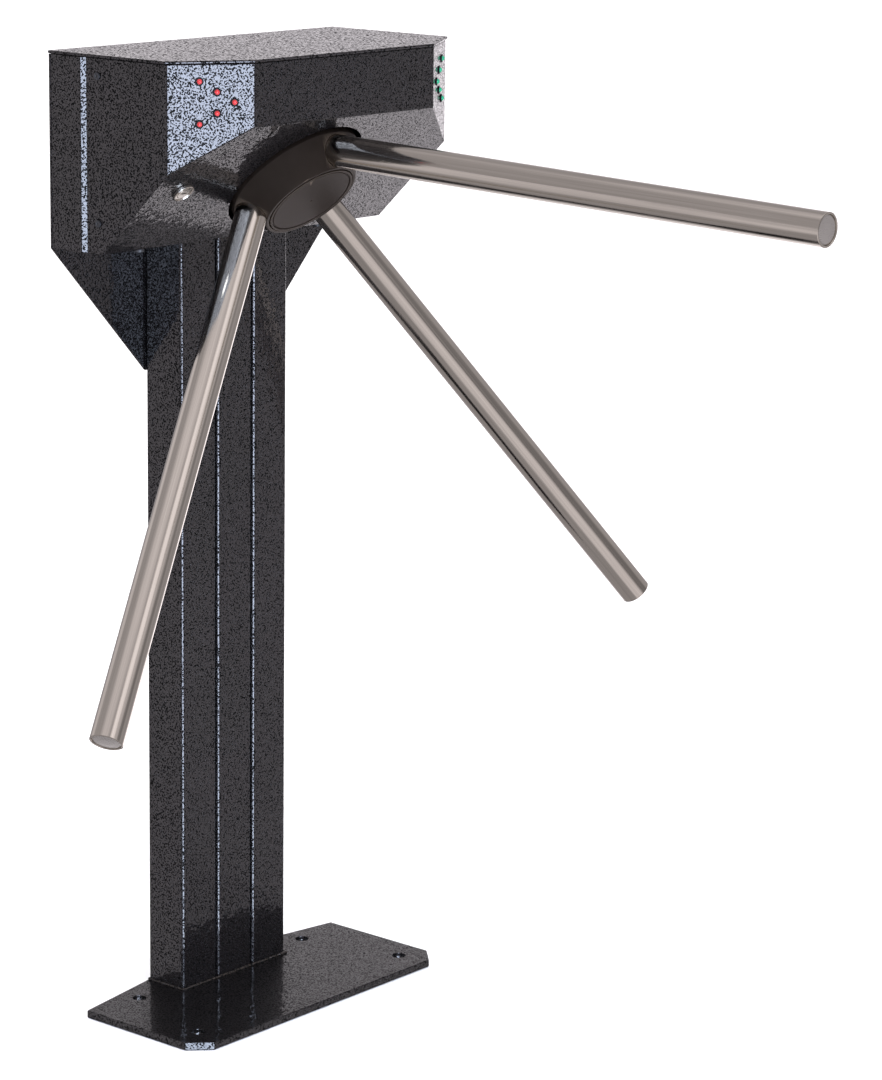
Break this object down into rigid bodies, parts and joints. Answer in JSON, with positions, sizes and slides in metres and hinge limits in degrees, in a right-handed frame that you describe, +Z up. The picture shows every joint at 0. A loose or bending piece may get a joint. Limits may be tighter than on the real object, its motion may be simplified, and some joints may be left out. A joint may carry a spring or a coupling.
{
  "type": "tripod turnstile",
  "caption": "Waist-high tripod turnstile: sheet-steel box on a square-tube post, with arms on a tilted hub that turns, an index mechanism inside and signal lights.",
  "frame": {"origin": "middle of the cable hole on the floor, under the middle of the column", "axes": "+Z up, +X along the walkway, -Y towards the passage, where the hub and the arms are"},
  "size_m": [0.8214, 0.7656, 0.9803],
  "materials": {
    "hammered_paint": "hammered gloss powder coat",
    "stainless": "brushed and polished stainless steel",
    "bearing_steel": "ground steel",
    "zinc_steel": "zinc-plated steel",
    "tool_steel": "blackened steel",
    "hub_coat": "satin bronze-brown coat",
    "nickel": "nickel plate",
    "black_plastic": "matt black plastic",
    "rubber": "black rubber",
    "circuit_board": "green circuit board",
    "brass": "turned brass",
    "housing_alloy": "machined aluminium",
    "red_lens": "clear red resin",
    "green_lens": "clear green resin"
  },
  "bodies": {
    "pedestal": {"base_plate": "hammered_paint", "column_tube_left": "hammered_paint", "column_tube_middle": "hammered_paint", "column_tube_right": "hammered_paint", "welds": "hammered_paint", "head_plate": "zinc_steel", "back_panel": "hammered_paint", "rear_chassis": "hammered_paint", "front_hood": "hammered_paint", "hood_screws": "black_plastic", "lock_housing": "nickel", "led_boards": "circuit_board", "red_leds": "red_lens", "green_leds": "green_lens", "led_bezels": "black_plastic", "bracket_left": "zinc_steel", "bracket_right": "zinc_steel", "frame_screws": "zinc_steel", "mechanism_plate": "zinc_steel", "bearing_housing": "housing_alloy", "bearing_cover": "zinc_steel", "mechanism_screws": "zinc_steel", "bearing_outer_rings": "bearing_steel", "bearing_balls": "bearing_steel", "bridge_plate": "zinc_steel", "bridge_pillars": "zinc_steel", "damper_body": "black_plastic", "pawl_pins": "tool_steel", "solenoid_left": "tool_steel", "solenoid_right": "tool_steel", "sensor_bracket": "zinc_steel", "position_sensor": "black_plastic", "control_board": "circuit_board", "board_parts": "black_plastic", "board_standoffs": "brass", "cable_grommet": "rubber"},
    "rotor": {"hub_cone": "hub_coat", "hub_cap": "hub_coat", "rotor_bolts": "zinc_steel", "arm_1": "stainless", "arm_2": "stainless", "arm_3": "stainless", "arm_end_caps": "stainless", "arm_plugs": "zinc_steel", "rotor_shaft": "tool_steel", "shaft_key": "tool_steel", "shaft_spacers": "zinc_steel", "bearing_inner_rings": "bearing_steel", "drive_gear": "brass", "index_disc": "tool_steel", "encoder_disc": "black_plastic", "shaft_nut": "zinc_steel"},
    "lid": {"lid": "hammered_paint"},
    "lock": {"lock_plug": "nickel", "lock_cam": "zinc_steel"},
    "damper": {"damper_pinion": "brass"},
    "pawl_left": {"pawl_left": "tool_steel"},
    "pawl_right": {"pawl_right": "tool_steel"},
    "plunger_left": {"plunger_left": "zinc_steel"},
    "plunger_right": {"plunger_right": "zinc_steel"}
  },
  "joints": [
    {"name": "hub_turn", "type": "hinge", "parent": "pedestal", "child": "rotor", "pos_m": [0, -0.10673, 0.853], "axis": [0, -0.6947, -0.7193], "continuous": true},
    {"name": "lid_lift", "type": "slide", "parent": "pedestal", "child": "lid", "axis": [0, 0, 1], "range_m": [0, 0.08]},
    {"name": "lock_turn", "type": "hinge", "parent": "pedestal", "child": "lock", "pos_m": [-0.16, -0.10673, 0.853], "axis": [0, -0.6947, -0.7193], "range_deg": [0, 90]},
    {"name": "damper_turn", "type": "hinge", "parent": "pedestal", "child": "damper", "pos_m": [0, 0.00676, 0.89494], "axis": [0, -0.6947, -0.7193], "continuous": true},
    {"name": "pawl_left_turn", "type": "hinge", "parent": "pedestal", "child": "pawl_left", "pos_m": [-0.08, 0.00541, 0.91153], "axis": [0, 0.6947, 0.7193], "range_deg": [0, 7.5], "stiffness_Nm_per_rad": 0.6, "springref_deg": -17.19},
    {"name": "pawl_right_turn", "type": "hinge", "parent": "pedestal", "child": "pawl_right", "pos_m": [0.08, 0.00541, 0.91153], "axis": [0, -0.6947, -0.7193], "range_deg": [0, 7.5], "stiffness_Nm_per_rad": 0.6, "springref_deg": -17.19},
    {"name": "plunger_left_slide", "type": "slide", "parent": "pedestal", "child": "plunger_left", "axis": [1, 0, 0], "range_m": [0, 0.0071]},
    {"name": "plunger_right_slide", "type": "slide", "parent": "pedestal", "child": "plunger_right", "axis": [-1, 0, 0], "range_m": [0, 0.0071]}
  ],
  "couplings": [
    {"joint": "damper_turn", "follows": "hub_turn", "ratio": -4},
    {"joint": "plunger_left_slide", "follows": "pawl_left_turn", "m_per_rad": 0.054},
    {"joint": "plunger_right_slide", "follows": "pawl_right_turn", "m_per_rad": 0.054}
  ]
}
